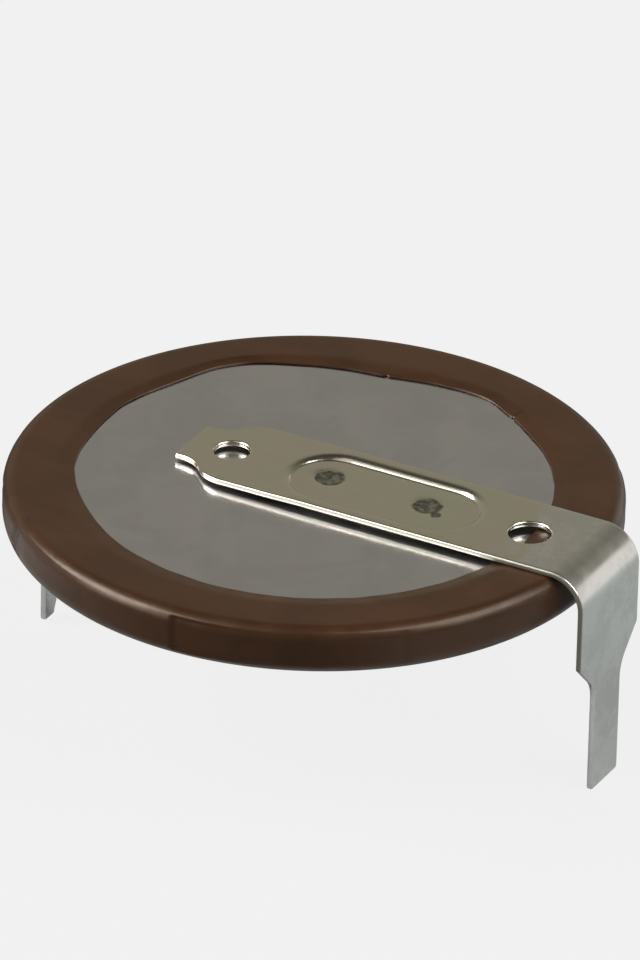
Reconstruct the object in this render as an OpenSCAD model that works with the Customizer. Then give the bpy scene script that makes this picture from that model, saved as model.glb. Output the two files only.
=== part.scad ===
// Lithium coin cell with welded solder terminals, seen with its can side up.
// The two blades point down, the longer one's tip lies on z = 0, the cell lies level above them,
// +X runs along the terminals towards the positive blade, and the footprint is centred on the origin.

/* [Cell] */
// Diameter of the bare cell over its can
cell_d = 20; // [18.5:0.1:24.5]
// Height of the bare cell from the cap's face to the can's face
cell_h = 1.6; // [1.4:0.1:3.2]
// Corner radius of the drawn can between its face and its wall
can_corner_r = 0.35; // [0.2:0.05:0.6]
// Outer radius of the can's edge where it is crimped over the gasket
crimp_r = 0.55; // [0.3:0.05:0.7]
// Width of the crimped edge from the can's wall to its free end
crimp_w = 1.05; // [0.8:0.05:1.4]
// Rounding of the crimped edge's free end
crimp_end_r = 0.1; // [0.05:0.01:0.15]
// Width of the gasket ring that shows between the crimped edge and the cap
gasket_w = 0.45; // [0.3:0.05:0.7]
// Depth of the gasket ring below the crimped edge
gasket_depth = 0.12; // [0.05:0.01:0.3]
// Rounding of the cap's raised face at its edge
cap_edge_r = 0.2; // [0.05:0.01:0.22]

/* [Insulating sleeve] */
// Thickness of the shrunk film
film_t = 0.15; // [0.1:0.01:0.22]
// Width of the film's lip on the can's face, from the sleeve's outer wall
top_lap = 2.35; // [1.5:0.05:4]
// Width of bare gasket left between the film's lower lip and the cap
lip_to_cap = 0.2; // [0.05:0.05:0.25]

/* [Positive terminal] */
// Thickness of the nickel strip of both terminals
strip_t = 0.2; // [0.1:0.05:0.3]
// Width of the positive strip
strip_w = 4; // [3.6:0.1:4.6]
// Reach of the strip's inner end past the cell's axis
tip_reach = 4.55; // [4.3:0.05:6]
// Width of the necked inner end
tip_w = 2.2; // [1.8:0.05:2.8]
// Corner radius of the necked inner end
tip_corner_r = 0.12; // [0.05:0.01:0.2]
// Straight length of the necked inner end
tip_len = 0.2; // [0.2:0.05:0.5]
// Length of the S-shaped shoulders between the neck and the full width
shoulder_len = 1.95; // [1.5:0.05:2.1]
// Diameter of the small pilot hole in the inner end
pilot_d = 1.25; // [0.6:0.05:1.4]
// Distance from the inner end to the pilot hole's centre
pilot_inset = 1.47; // [1.35:0.01:1.6]
// Diameter of the pilot hole near the rim
rim_hole_d = 1.4; // [0.8:0.05:1.6]
// Distance from the bend to the rim hole's centre
rim_hole_inset = 1.75; // [1.2:0.05:2]
// Clearance between the sleeve's wall and the positive leg
leg_gap = 0.55; // [0.3:0.05:1.5]

/* [Weld recess] */
// Length of the recess pressed into the positive strip
recess_len = 7; // [5.5:0.1:7.2]
// Width of the recess at its brim
recess_w = 3.1; // [2:0.05:3.2]
// Distance from the recess to the edge of the rim hole
recess_inset = 1.1; // [0.8:0.05:1.6]
// Diameter of a spot weld's dimple
weld_d = 1; // [0.5:0.05:1.2]
// Depth of a spot weld's dimple
weld_depth = 0.05; // [0.02:0.01:0.08]
// Distance between the two spot welds of a strip
weld_pitch = 3.65; // [2:0.05:3.8]
// Distance from the recess's inner end to the first spot weld
weld_inset = 1.35; // [1:0.05:1.6]

/* [Blades] */
// Distance from the positive blade's tip to the cap's face
stand_off = 6.35; // [5.8:0.05:9]
// Straight length of the blades below their shoulders
blade_len = 3.4; // [2.4:0.05:3.5]
// Radius where a shoulder runs into its blade
shoulder_fillet_r = 1.1; // [0.4:0.05:1.2]
// Width of the positive blade
pos_blade_w = 1.8; // [1.2:0.05:2.6]
// Width of the negative blade
neg_blade_w = 0.8; // [0.6:0.05:1.2]
// Corner rounding of the blades' tips
blade_tip_r = 0.12; // [0.02:0.01:0.25]

/* [Negative terminal] */
// Width of the negative strip under the cap
neg_strip_w = 3; // [2:0.1:3.4]
// Reach of the strip's inner end past the cell's axis
neg_reach = 4.45; // [3:0.05:6]
// Corner radius of its inner end
neg_corner_r = 0.8; // [0.2:0.05:0.95]
// Distance of the negative leg's outer face inside the sleeve's outer wall
neg_inset = 0.2; // [0:0.05:0.7]
// Outer radius of the negative bend
neg_bend_r = 0.6; // [0.4:0.05:0.8]
// Distance from the inner end to the first spot weld
neg_weld_inset = 2.2; // [1:0.1:3]
// Height of the negative blade's tip above the positive blade's tip
neg_tip_rise = 0.1; // [0:0.05:0.3]
// Depth of the shear step on one edge of the negative blade
notch_depth = 0.13; // [0.04:0.01:0.2]
// Height of the shear step above the negative blade's tip
notch_h = 0.15; // [0.1:0.01:0.5]
// Height of the shear step's sloped end
notch_run = 0.28; // [0.05:0.01:0.5]

/* [Hidden] */
$fn = 96;

// Margin by which cuts run past the faces that they cut
cut = 1;
// Slope of the pressed walls of the recess and of the blades' shoulders
slope = 45;

can_r = cell_d / 2;
sleeve_r = can_r + film_t;
sleeve_corner_r = can_corner_r + film_t;
sleeve_hem_r = crimp_r + film_t;

// The crimped edge stands back by the film's thickness, so the lower lip lies flush with the cap
cap_z = stand_off;
crimp_z = cap_z + film_t;
can_z = cap_z + cell_h;
sleeve_z = can_z + film_t;

crimp_end = can_r - crimp_w;
cap_r = crimp_end - gasket_w;
top_open_r = sleeve_r - top_lap;
bottom_open_r = cap_r + lip_to_cap;

// Stations along the terminals are measured from the cell's axis, towards the positive blade
pos_face = sleeve_r + leg_gap + strip_t;
neg_face = sleeve_r - neg_inset;
axis_x = -(pos_face - sleeve_r) / 2;

// The positive strip lies on the sleeve's lip and starts its bend where the sleeve's corner starts
bend_x = sleeve_r - sleeve_corner_r;
bend_r = pos_face - bend_x;
strip_top = sleeve_z + strip_t;

tip_x = -tip_reach;
neck_x = tip_x + tip_len;
shoulder_x = neck_x + shoulder_len;
pilot_x = tip_x + pilot_inset;
rim_hole_x = bend_x - rim_hole_inset;
recess_end = rim_hole_x - rim_hole_d / 2 - recess_inset;
recess_start = recess_end - recess_len;
weld_x = recess_start + weld_inset;

// The recess brings the strip's underside down onto the can inside the sleeve's lip
recess_depth = film_t;
wall_run = recess_depth / tan(slope);
sheet_shift = strip_t * tan(slope / 2);

// Radius of the ball that leaves a dimple of the weld's diameter and depth
weld_ball_r = (pow(weld_d / 2, 2) + pow(weld_depth, 2)) / (2 * weld_depth);

// Outline in radius and height of a disc with rounded outer edges
module disc_section(r, z0, z1, low_r, high_r) {
    difference() {
        translate([0, z0])
            square([r, z1 - z0]);
        translate([r, z0])
            edge_round(low_r, -1, 1);
        translate([r, z1])
            edge_round(high_r, -1, -1);
    }
}

// What a rounding takes off a square corner at the origin; sx and sy point into the material
module edge_round(r, sx, sy) {
    difference() {
        translate([sx > 0 ? 0 : -r, sy > 0 ? 0 : -r])
            square(r);
        translate([sx * r, sy * r])
            circle(r);
    }
}

module cell_section() {
    difference() {
        disc_section(can_r, crimp_z, can_z, crimp_r, can_corner_r);
        // Channel over the gasket, open to the film's lower lip
        translate([0, crimp_z - cut])
            square([crimp_end, cut + gasket_depth]);
        translate([crimp_end, crimp_z])
            edge_round(crimp_end_r, 1, 1);
    }
    // Cap, which stands out past the crimped edge
    difference() {
        translate([0, cap_z])
            square([cap_r, cell_h - can_corner_r]);
        translate([cap_r, cap_z])
            edge_round(cap_edge_r, -1, 1);
    }
}

module sleeve_section() {
    difference() {
        disc_section(sleeve_r, cap_z, sleeve_z, sleeve_hem_r, sleeve_corner_r);
        disc_section(can_r, crimp_z, can_z, crimp_r, can_corner_r);
        translate([0, can_z - cut])
            square([top_open_r, film_t + 2 * cut]);
        translate([0, cap_z - cut])
            square([bottom_open_r, film_t + 2 * cut]);
    }
}

module sealed_cell() {
    color([0.56, 0.55, 0.52])
        translate([axis_x, 0, 0])
            rotate_extrude()
                cell_section();
}

module sleeve() {
    color([0.27, 0.2, 0.145])
        translate([axis_x, 0, 0])
            rotate_extrude()
                sleeve_section();
}

// Flat end of a strip between two stations, with rounded corners at its low end
module strip_end(x0, x1, w, r) {
    difference() {
        translate([x0, -w / 2])
            square([x1 - x0, w]);
        translate([x0, -w / 2])
            edge_round(r, 1, 1);
        translate([x0, w / 2])
            edge_round(r, 1, -1);
    }
}

// Widening of a strip from half width a to half width b along two equal, tangent arcs on each edge
module s_shoulders(x0, x1, a, b) {
    run = x1 - x0;
    rise = b - a;
    r = (run * run + rise * rise) / (4 * rise);
    mid_x = (x0 + x1) / 2;
    mid_y = (a + b) / 2;
    for (side = [-1, 1])
        difference() {
            union() {
                polygon([[x0, 0], [x0, side * a], [mid_x, side * mid_y], [x1, side * b], [x1, 0]]);
                intersection() {
                    translate([x1, side * (b - r)])
                        circle(r);
                    translate([mid_x, side > 0 ? 0 : -b])
                        square([x1 - mid_x, b]);
                }
            }
            translate([x0, side * (a + r)])
                circle(r);
        }
}

module positive_outline() {
    difference() {
        union() {
            strip_end(tip_x, neck_x, tip_w, tip_corner_r);
            s_shoulders(neck_x, shoulder_x, tip_w / 2, strip_w / 2);
            translate([shoulder_x, -strip_w / 2])
                square([bend_x - shoulder_x, strip_w]);
        }
        translate([pilot_x, 0])
            circle(d = pilot_d);
        translate([rim_hole_x, 0])
            circle(d = rim_hole_d);
    }
}

// Slot-shaped block with sloped walls; the half widths are those at its floor and at its brim
module tapered_slot(z0, z1, floor_half, brim_half) {
    centre_inset = recess_w / 2;
    x0 = recess_start + centre_inset;
    x1 = recess_end - centre_inset;
    for (x = [x0, x1])
        translate([x, 0, z0])
            cylinder(h = z1 - z0, r1 = floor_half, r2 = brim_half);
    translate([x0, 0, 0])
        rotate([90, 0, 90])
            linear_extrude(x1 - x0)
                polygon([[-floor_half, z0], [floor_half, z0], [brim_half, z1], [-brim_half, z1]]);
}

// Dimple of a spot weld in a face at height z; side is 1 for an upper face and -1 for a lower one
module weld_dimple(x, z, side) {
    translate([x, 0, z + side * (weld_ball_r - weld_depth)])
        sphere(weld_ball_r);
}

// Quarter bend from a level strip into a leg, about the axis at (x, z), with the leg on +X
module quarter_bend(x, z, r, w) {
    translate([x, 0, z])
        rotate([90, 0, 0])
            intersection() {
                difference() {
                    cylinder(h = w, r = r, center = true);
                    cylinder(h = w + 2 * cut, r = r - strip_t, center = true);
                }
                translate([0, 0, -w])
                    cube([r + cut, r + cut, 2 * w]);
            }
}

// Outline of a leg in width and height: wide part, sloped shoulders with a fillet, and blade
module leg_outline(w, blade_w, low, top) {
    half = w / 2;
    blade_half = blade_w / 2;
    tangent = shoulder_fillet_r * tan(slope / 2);
    straight_z = low + blade_len;
    corner_z = straight_z + tangent;
    shoulder_z = corner_z + (half - blade_half) * tan(slope);
    difference() {
        translate([-blade_half, low])
            square([blade_w, corner_z - low]);
        for (side = [-1, 1])
            translate([side * blade_half, low])
                edge_round(blade_tip_r, -side, 1);
    }
    polygon([
        [-blade_half, corner_z], [-half, shoulder_z], [-half, top],
        [half, top], [half, shoulder_z], [blade_half, corner_z],
    ]);
    for (side = [-1, 1])
        difference() {
            polygon([
                [side * blade_half, corner_z],
                [side * blade_half, straight_z],
                [side * (blade_half + tangent * cos(slope)), corner_z + tangent * sin(slope)],
            ]);
            translate([side * (blade_half + shoulder_fillet_r), straight_z])
                circle(shoulder_fillet_r);
        }
}

// Leg from height low to height top, whose outer face lies at station x, facing +X
module leg(x, w, blade_w, low, top) {
    translate([x - strip_t, 0, 0])
        rotate([90, 0, 90])
            linear_extrude(strip_t)
                leg_outline(w, blade_w, low, top);
}

module positive_strip() {
    brim_half = recess_w / 2;
    rise = 1 / tan(slope);
    difference() {
        union() {
            translate([0, 0, sleeve_z])
                linear_extrude(strip_t)
                    positive_outline();
            tapered_slot(can_z, sleeve_z, brim_half + sheet_shift - wall_run, brim_half + sheet_shift);
        }
        tapered_slot(strip_top - recess_depth, strip_top + cut, brim_half - wall_run, brim_half + cut * rise);
        for (x = [weld_x, weld_x + weld_pitch])
            weld_dimple(x, strip_top - recess_depth, 1);
    }
}

module positive_terminal() {
    color([0.66, 0.65, 0.6])
        translate([axis_x, 0, 0]) {
            positive_strip();
            quarter_bend(bend_x, strip_top - bend_r, bend_r, strip_w);
            leg(pos_face, strip_w, pos_blade_w, 0, strip_top - bend_r);
        }
}

module negative_strip() {
    difference() {
        translate([0, 0, cap_z - strip_t])
            linear_extrude(strip_t)
                strip_end(-neg_reach, neg_face - neg_bend_r, neg_strip_w, neg_corner_r);
        for (x = [0, weld_pitch])
            weld_dimple(-neg_reach + neg_weld_inset + x, cap_z - strip_t, -1);
    }
}

// Step that the cut-off tool left on one edge of the negative blade, with a sloped end
module shear_step() {
    edge = neg_blade_w / 2;
    slope_end = notch_h + notch_run;
    translate([neg_face - strip_t - cut, 0, neg_tip_rise])
        rotate([90, 0, 90])
            linear_extrude(strip_t + 2 * cut)
                polygon([
                    [edge - notch_depth, -cut], [edge - notch_depth, notch_h],
                    [edge, slope_end], [edge + cut, slope_end], [edge + cut, -cut],
                ]);
}

module negative_terminal() {
    color([0.6, 0.6, 0.56])
        translate([axis_x, 0, 0])
            mirror([1, 0, 0]) {
                negative_strip();
                quarter_bend(neg_face - neg_bend_r, cap_z - neg_bend_r, neg_bend_r, neg_strip_w);
                difference() {
                    leg(neg_face, neg_strip_w, neg_blade_w, neg_tip_rise, cap_z - neg_bend_r);
                    shear_step();
                }
            }
}

sealed_cell();
sleeve();
positive_terminal();
negative_terminal();
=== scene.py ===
"""Lithium coin cell with welded solder terminals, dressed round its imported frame."""

from math import atan2, cos, exp, hypot, pi, radians, sin, tan

import bmesh
import bpy
from bpy.props import FloatProperty, FloatVectorProperty, IntProperty, PointerProperty
from mathutils import Matrix, Vector, noise


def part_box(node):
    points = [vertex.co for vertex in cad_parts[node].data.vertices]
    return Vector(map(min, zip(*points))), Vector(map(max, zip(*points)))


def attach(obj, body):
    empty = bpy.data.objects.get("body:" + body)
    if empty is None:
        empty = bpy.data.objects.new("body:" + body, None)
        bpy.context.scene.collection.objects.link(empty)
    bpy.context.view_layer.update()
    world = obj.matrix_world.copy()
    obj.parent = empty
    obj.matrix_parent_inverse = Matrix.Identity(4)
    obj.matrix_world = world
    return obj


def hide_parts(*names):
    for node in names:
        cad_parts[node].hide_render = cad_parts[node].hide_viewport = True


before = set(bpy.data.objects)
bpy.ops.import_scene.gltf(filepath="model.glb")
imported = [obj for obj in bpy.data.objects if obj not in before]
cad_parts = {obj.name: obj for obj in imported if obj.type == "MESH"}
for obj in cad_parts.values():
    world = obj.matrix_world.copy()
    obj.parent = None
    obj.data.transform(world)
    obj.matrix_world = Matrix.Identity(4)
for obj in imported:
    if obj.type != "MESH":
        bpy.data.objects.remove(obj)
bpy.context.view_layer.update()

bl_info = {
    "name": "Coin cell with solder terminals",
    "version": (1, 0, 0),
    "blender": (4, 5, 0),
    "location": "3D View > Sidebar > Coin cell",
    "description": "Models a sleeved coin cell with stamped terminals and lights it in a small studio",
    "category": "Add Mesh",
}

MM = 0.001
BODY = "root"
# Points closer than MERGE are one point, and heights closer than LEVEL are one level
MERGE = 1e-4 * MM
LEVEL = 0.01 * MM

# What the frame fixes: the cell, the film and both terminals
CELL_LOW, CELL_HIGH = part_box("sealed_cell")
FILM_LOW, FILM_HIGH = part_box("sleeve")
POSITIVE_LOW, POSITIVE_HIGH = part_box("positive_terminal")
NEGATIVE_LOW, NEGATIVE_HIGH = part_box("negative_terminal")
AXIS_X = (CELL_LOW.x + CELL_HIGH.x) / 2
CAN_R = (CELL_HIGH.x - CELL_LOW.x) / 2
CAN_Z = CELL_HIGH.z
CAP_Z = CELL_LOW.z
FILM_R = (FILM_HIGH.x - FILM_LOW.x) / 2
FILM_Z = FILM_HIGH.z
FILM_T = FILM_Z - CAN_Z
CRIMP_Z = CAP_Z + FILM_T
SHEET_T = POSITIVE_HIGH.z - FILM_Z


def length(name, default, description):
    """A size in millimetres on the panel, kept in metres."""
    return FloatProperty(
        name=name, description=description, default=default * MM, precision=5,
        unit="LENGTH", subtype="DISTANCE",
    )


def colour(name, default, description):
    return FloatVectorProperty(
        name=name, description=description, default=default, size=3, min=0, max=2, subtype="COLOR"
    )


def share(name, default, description):
    return FloatProperty(name=name, description=description, default=default, min=0, max=1, subtype="FACTOR")


def turn(name, default, description):
    return FloatProperty(
        name=name, description=description, default=radians(default), unit="ROTATION", subtype="ANGLE"
    )


class CellSizes(bpy.types.PropertyGroup):
    """Sizes of the can, the gasket and the cap that the frame's boxes don't give."""

    can_corner: length("Can corner", 0.35, "Corner radius of the drawn can")
    crimp_radius: length("Crimp radius", 0.55, "Outer radius of the can's crimped edge")
    crimp_width: length("Crimp width", 1.05, "Width of the crimped edge from the can's wall to its free end")
    crimp_end: length("Crimp end", 0.1, "Rounding of the crimped edge's free end")
    wall: length("Wall", 0.2, "Thickness of the can's and the cap's steel")
    gasket_width: length("Gasket width", 0.45, "Width of the gasket ring between can and cap")
    gasket_depth: length("Gasket depth", 0.12, "Depth of the gasket ring below the crimped edge")
    cap_edge: length("Cap edge", 0.2, "Rounding of the cap's edge")
    turns: IntProperty(name="Steps", description="Steps of a full turn of the can", default=256, min=32)


class FilmSizes(bpy.types.PropertyGroup):
    """Sizes of the shrunk film's lips, edge and folds."""

    top_lap: length("Top lap", 2.35, "Width of the film's lip on the can's face")
    lip_gap: length("Lip gap", 0.2, "Bare gasket between the lower lip and the cap")
    lip_edge: length("Lip edge", 0.06, "Rounding of the lip's cut edge")
    lift: length("Lift", 0.015, "Height by which the cut edge stands off the can")
    taper: length("Taper", 0.07, "Thickness that the film loses towards the lip's cut edge")
    taper_width: length("Taper width", 0.6, "Width over which the lip thins out")
    ripple: length("Ripple", 0.012, "Height of the film's shallow waves")
    fold_depth: length("Fold depth", 0.05, "Depth of the deepest fold in the wall")
    turns: IntProperty(name="Steps", description="Steps of a full turn of the film", default=896, min=96)


class SheetSizes(bpy.types.PropertyGroup):
    """Sizes of the two stamped and bent strips."""

    edge: length("Rolled edge", 0.065, "Radius of the edges that the stamping tool rolled over")
    grid: length("Grid", 0.15, "Size of the sheet's mesh cells")
    tip_reach: length("Tip reach", 4.62, "Reach of the positive strip's inner end past the cell's axis")
    tip_width: length("Tip width", 2.2, "Width of the necked inner end")
    tip_corner: length("Tip corner", 0.12, "Corner radius of the inner end")
    tip_length: length("Tip length", 0.2, "Straight length of the inner end")
    shoulder: length("Shoulder", 1.95, "Length of the S-shaped shoulders behind the inner end")
    pilot: length("Pilot hole", 1.2, "Diameter of the pilot hole in the inner end")
    pilot_inset: length("Pilot inset", 1.56, "Distance from the inner end to the pilot hole's centre")
    rim_hole: length("Rim hole", 1.4, "Diameter of the hole near the rim")
    rim_hole_inset: length("Rim hole inset", 1.75, "Distance from the bend to the rim hole's centre")
    recess: length("Recess", 7.0, "Length of the pressed recess")
    recess_width: length("Recess width", 3.1, "Width of the pressed recess")
    recess_inset: length("Recess inset", 1.1, "Distance from the recess to the rim hole's edge")
    brim: length("Brim", 0.4, "Radius of the recess's brim")
    foot: length("Foot", 0.1, "Radius at the foot of the recess's wall")
    weld: length("Weld", 1.0, "Diameter of a weld mark")
    weld_depth: length("Weld depth", 0.05, "Depth of a weld mark")
    weld_pitch: length("Weld pitch", 3.65, "Distance between two weld marks")
    weld_inset: length("Weld inset", 1.35, "Distance from the recess's end to the first weld mark")
    blade: length("Blade", 3.4, "Straight length of a blade")
    fillet: length("Fillet", 1.1, "Radius where a shoulder runs into its blade")
    blade_tip: length("Blade tip", 0.12, "Corner radius of a blade's tip")
    positive_blade: length("Positive blade", 1.8, "Width of the positive blade")
    negative_blade: length("Negative blade", 0.8, "Width of the negative blade")
    negative_bend: length("Negative bend", 0.6, "Outer radius of the negative strip's bend")
    negative_reach: length("Negative reach", 4.45, "Reach of the negative strip's inner end past the axis")
    negative_corner: length("Negative corner", 0.8, "Corner radius of the negative strip's inner end")
    negative_weld: length("Negative weld", 2.2, "Distance from the negative strip's end to its first mark")
    step_depth: length("Step depth", 0.13, "Depth of the shear step on the negative blade")
    step_height: length("Step height", 0.15, "Height of the shear step above the negative blade's tip")
    step_slope: length("Step slope", 0.28, "Height of the shear step's sloped end")
    droop: length("Droop", 0.08, "Height that the free inner end has sunk towards the can")
    sag: length("Sag", 0.025, "Height by which the recess's inner end is shallower from above and below")


class Finishes(bpy.types.PropertyGroup):
    """Colours and roughness of the finishes."""

    steel: colour("Steel", (0.59, 0.585, 0.62), "Colour of the can's and the cap's steel")
    steel_roughness: share("Steel roughness", 0.16, "Roughness of the can's steel")
    nickel: colour("Nickel", (0.72, 0.715, 0.69), "Colour of the terminals' nickel")
    # Painted reflection: this darker, yellower nickel over the cell stands in for the duller reflection there
    painted_dim_nickel: colour("Dimmed", (0.63, 0.61, 0.53), "Colour of the nickel's dimmed stretch over the cell")
    nickel_roughness: share("Nickel roughness", 0.17, "Roughness of the terminals' nickel")
    sheared: colour("Sheared edge", (0.3, 0.285, 0.235), "Colour of the positive strip's rough edge")
    scorch: colour("Scorch", (0.06, 0.056, 0.042), "Colour of the weld marks")
    film: colour("Film", (0.0262, 0.0108, 0.0041), "Colour of the film")
    film_warm: colour("Warm film", (0.0345, 0.0134, 0.0055), "Colour of the film's redder stretches")
    film_sheen: colour("Film sheen", (1.0, 0.82, 0.67), "Tint of the film's highlights")
    film_roughness: share("Film roughness", 0.32, "Roughness of the film")
    gasket: colour("Gasket", (0.02, 0.02, 0.021), "Colour of the gasket")


class StudioSettings(bpy.types.PropertyGroup):
    """Camera, lamps and background."""

    azimuth: turn("Azimuth", 27.841, "Angle of the camera round the object")
    elevation: turn("Elevation", 28.847, "Angle of the camera above the horizon")
    roll: turn("Roll", 1.403, "Turn of the camera about its own axis")
    distance: length("Distance", 396.284, "Distance from the camera to its target")
    target: FloatVectorProperty(
        name="Target", description="Point in the middle of the picture", size=3, unit="LENGTH",
        default=(-2.7633 * MM, 4.9122 * MM, 5 * MM), precision=6, subtype="TRANSLATION",
    )
    lens: FloatProperty(name="Lens", description="Focal length for a sensor 36 mm wide", default=450)
    backdrop: colour("Backdrop", (0.885, 0.885, 0.885), "Colour of the floor and background in the picture")
    mirrored: colour("Mirrored floor", (0.462, 0.496, 0.484), "Tone of the floor that polished surfaces show")
    screen: colour("Screen", (0.88, 0.865, 0.83), "Tone of the bright screen that polished surfaces show")
    screen_azimuth: turn("Screen azimuth", 146, "Angle of the screen round the object")
    screen_top: turn("Screen top", 20.5, "Angle above the horizon at which the screen ends")
    room: colour("Room", (0.336, 0.318, 0.262), "Tone beside the screen that polished surfaces show")
    overhead: colour("Overhead", (0.06, 0.056, 0.045), "Tone straight above that polished surfaces show")
    front: colour("Front", (0.11, 0.105, 0.095), "Tone in front of the object that polished surfaces show")
    front_azimuth: turn("Front azimuth", 35, "Angle of the dark front round the object")
    # The pool is painted light: a brighter patch on the floor below the left lamp that only polished surfaces
    # show
    pool: colour("Pool", (0.42, 0.42, 0.395), "Tone of the mirrored floor below the left lamp")
    painted_pool_azimuth: turn("Pool azimuth", -33, "Angle of that floor round the object")
    glow: colour("Glow", (0.75, 0.72, 0.67), "Tone of the mirrored glow above the left lamp")
    glow_azimuth: turn("Glow azimuth", -30, "Angle of that glow round the object")
    glow_height: turn("Glow height", 58, "Angle of that glow above the horizon")
    ambient: share("Ambient", 0.07, "Even light on the object")


class CoinCellSettings(bpy.types.PropertyGroup):
    """Everything that the panel shows."""

    cell: PointerProperty(type=CellSizes)
    film: PointerProperty(type=FilmSizes)
    sheet: PointerProperty(type=SheetSizes)
    finish: PointerProperty(type=Finishes)
    studio: PointerProperty(type=StudioSettings)


# Outlines and small geometry


def arc(x, y, radius, start, end, steps):
    """Points on an arc from one angle to another, in degrees, both ends included."""
    angles = [radians(start + (end - start) * k / steps) for k in range(steps + 1)]
    return [(x + radius * cos(a), y + radius * sin(a)) for a in angles]


def smooth(low, high, value):
    """0 below low, 1 above high and an even S between."""
    t = min(max((value - low) / (high - low), 0.0), 1.0)
    return t * t * (3 - 2 * t)


def hump(value, width):
    """1 at 0, falling to nothing within about two widths."""
    return exp(-(value / width) ** 2)


def angle_between(a, b):
    """Shortest turn from b to a, in degrees."""
    return (a - b + 180) % 360 - 180


def spin_section(bm, points, x, y, steps, closed):
    """Spins a section of (radius, height) points about the upright axis at (x, y)."""
    ring = [bm.verts.new((x + r, y, z)) for r, z in points]
    edges = [bm.edges.new(pair) for pair in zip(ring, ring[1:])]
    if closed:
        edges.append(bm.edges.new((ring[-1], ring[0])))
    bmesh.ops.spin(
        bm, geom=ring + edges, cent=(x, y, 0), axis=(0, 0, 1), dvec=(0, 0, 0),
        angle=2 * pi, steps=steps, use_merge=True, use_duplicate=False,
    )


def spin_round(bm, points, steps):
    """Spins a closed section about the cell's axis by one eighth and doubles that up to a full turn."""
    ring = [bm.verts.new((AXIS_X + r, 0, z)) for r, z in points]
    edges = [bm.edges.new(pair) for pair in zip(ring, ring[1:] + ring[:1])]
    bmesh.ops.spin(
        bm, geom=ring + edges, cent=(AXIS_X, 0, 0), axis=(0, 0, 1), dvec=(0, 0, 0),
        angle=pi / 4, steps=steps // 8, use_merge=False, use_duplicate=False,
    )
    for angle in (pi / 4, pi / 2, pi):
        copy = bmesh.ops.duplicate(bm, geom=bm.verts[:] + bm.edges[:] + bm.faces[:])["geom"]
        turned = [v for v in copy if isinstance(v, bmesh.types.BMVert)]
        bmesh.ops.rotate(bm, cent=(AXIS_X, 0, 0), matrix=Matrix.Rotation(angle, 3, "Z"), verts=turned)


def close_mesh(bm):
    """Merges doubles at poles and seams and turns every face outwards."""
    bmesh.ops.remove_doubles(bm, verts=bm.verts, dist=MERGE)
    bmesh.ops.recalc_face_normals(bm, faces=bm.faces)


def add_object(name, data):
    thing = bpy.data.objects.new(name, data)
    bpy.context.scene.collection.objects.link(thing)
    return thing


def add_mesh(bm, name, material):
    """Makes an object of a bmesh and gives it its material."""
    mesh = bpy.data.meshes.new(name)
    bm.to_mesh(mesh)
    bm.free()
    mesh.materials.append(material)
    return add_object(name, mesh)


def finish_piece(bm, name, material, replaced=(), weighted=False):
    """Makes a smooth piece of a bmesh and tells the frame what it is."""
    piece = add_mesh(bm, name, material)
    piece.data.shade_smooth()
    if weighted:
        modifier = piece.modifiers.new("Flat faces lead", "WEIGHTED_NORMAL")
        modifier.weight = 80
    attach(piece, BODY)
    if replaced:
        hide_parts(*replaced)


# Cell: can, gasket and cap


def can_section(sizes):
    """Closed section of the drawn can with its crimped edge, as a sheet of even thickness."""
    wall = sizes.wall
    corner, crimp, end = sizes.can_corner, sizes.crimp_radius, sizes.crimp_end
    free_end = CAN_R - sizes.crimp_width
    outer = [(0, CAN_Z), (CAN_R / 2, CAN_Z)]
    outer += arc(CAN_R - corner, CAN_Z - corner, corner, 90, 0, 8)
    outer += arc(CAN_R - crimp, CRIMP_Z + crimp, crimp, 0, -90, 10)
    tip = arc(free_end + end, CRIMP_Z + end, end, -90, -270, 8)
    inner = arc(CAN_R - crimp, CRIMP_Z + crimp, crimp - wall, -90, 0, 6)
    inner += arc(CAN_R - corner, CAN_Z - corner, corner - wall, 0, 90, 4)
    return outer + tip + inner + [(0, CAN_Z - wall)]


def gasket_section(sizes):
    """Ring that shows between the crimped edge and the cap, reaching up behind both."""
    free_end = CAN_R - sizes.crimp_width
    inner, outer = free_end - sizes.gasket_width, CAN_R - sizes.wall
    low, top = CRIMP_Z + sizes.gasket_depth, CAN_Z - sizes.wall
    crown = sizes.crimp_end / 4
    under_crimp = CRIMP_Z + sizes.wall
    return [
        (inner, low), ((inner + free_end) / 2, low - crown), (free_end, low), (free_end, under_crimp),
        (CAN_R - sizes.crimp_radius, under_crimp), (outer, CRIMP_Z + sizes.crimp_radius),
        (outer, top), (inner, top),
    ]


def cap_section(sizes):
    """Cap with its raised face, closed towards the sealed inside."""
    radius = CAN_R - sizes.crimp_width - sizes.gasket_width
    edge = sizes.cap_edge
    top = CAN_Z - sizes.wall
    face = arc(radius - edge, CAP_Z + edge, edge, -90, 0, 8)
    return [(0, CAP_Z), (radius / 2, CAP_Z)] + face + [(radius, top), (0, top)]


def add_lathed(name, section, steps, material, replaced=()):
    """Adds a piece that a closed section makes about the cell's axis."""
    bm = bmesh.new()
    spin_section(bm, section, AXIS_X, 0, steps, closed=True)
    close_mesh(bm)
    finish_piece(bm, name, material, replaced, weighted=True)


# Film

# Where the film's cut edge leaves its circle: direction in degrees, width in degrees, shift outwards in mm
LIP_BUMPS = (
    (-160, 12, 0.05), (-134, 16, -0.15), (-105, 16, -0.08), (-57, 22, 0.05),
    (74, 11, 0.26), (101, 9, -0.2), (137, 15, 0.47), (168, 12, 0.17),
)
# Small tears in the cut edge: direction in degrees, depth in mm; their width in degrees
LIP_NICKS = ((100.3, 0.05), (63, 0.08))
NICK_WIDTH = 0.45
# Small waves of the cut edge: height in mm, and their number in one radian
LIP_WAVE, LIP_WAVES = 0.03, 9
# Width over which the lip follows its cut edge
LIP_WIDTH = 1.2 * MM
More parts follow.
